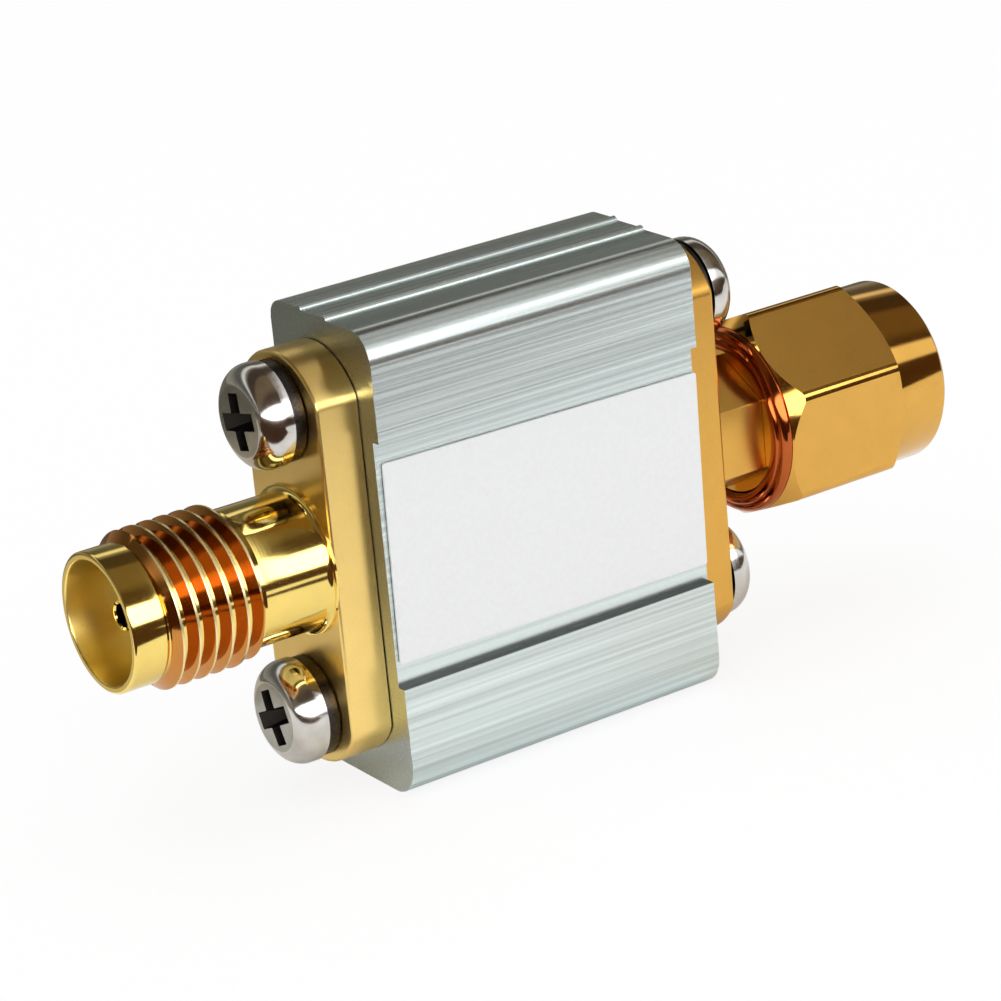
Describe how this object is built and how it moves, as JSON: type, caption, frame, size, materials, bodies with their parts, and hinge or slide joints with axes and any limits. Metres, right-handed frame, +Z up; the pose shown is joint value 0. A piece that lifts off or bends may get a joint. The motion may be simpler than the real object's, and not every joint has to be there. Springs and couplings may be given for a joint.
{
  "type": "rf bandpass filter",
  "caption": "Inline RF bandpass filter: a ribbed extruded housing with a flanged coaxial jack at one end and a plug with a coupling nut at the other.",
  "frame": {"origin": "centre of the housing's bottom face", "axes": "+X along the signal axis from the jack to the plug, -Y the labelled face, +Z up"},
  "size_m": [0.0386, 0.0084, 0.0192],
  "materials": {
    "housing_aluminium": "extruded, with fine die lines",
    "label_white": "matt",
    "gold_plate": "bright gold plate on brass",
    "screw_steel": "bright passivated steel",
    "washer_steel": "dark spring steel",
    "ptfe": "waxy",
    "red_silicone": "soft",
    "spring_bronze": "satin",
    "board": "solder mask",
    "chip_ceramic": "matt",
    "inductor_ceramic": "matt",
    "capacitor_ceramic": "matt"
  },
  "bodies": {
    "filter": {"housing": "housing_aluminium", "label": "label_white", "jack_body": "gold_plate", "jack_insulator": "ptfe", "jack_contact": "gold_plate", "plug_body": "gold_plate", "plug_insulator": "ptfe", "plug_pin": "gold_plate", "nut_gasket": "red_silicone", "screw_jack_top": "screw_steel", "screw_jack_bottom": "screw_steel", "screw_plug_top": "screw_steel", "screw_plug_bottom": "screw_steel", "washer_jack_top": "washer_steel", "washer_jack_bottom": "washer_steel", "washer_plug_top": "washer_steel", "washer_plug_bottom": "washer_steel", "circuit_board": "board", "filter_chip": "chip_ceramic", "chip_inductor_1": "inductor_ceramic", "chip_inductor_2": "inductor_ceramic", "chip_capacitor_1": "capacitor_ceramic", "chip_capacitor_2": "capacitor_ceramic"},
    "coupling": {"coupling_nut": "gold_plate", "snap_ring": "spring_bronze"}
  },
  "joints": [
    {"name": "nut_spin", "type": "hinge", "parent": "filter", "child": "coupling", "pos_m": [0.014, 0.0004, 0.0096], "axis": [1, 0, 0], "continuous": true}
  ]
}
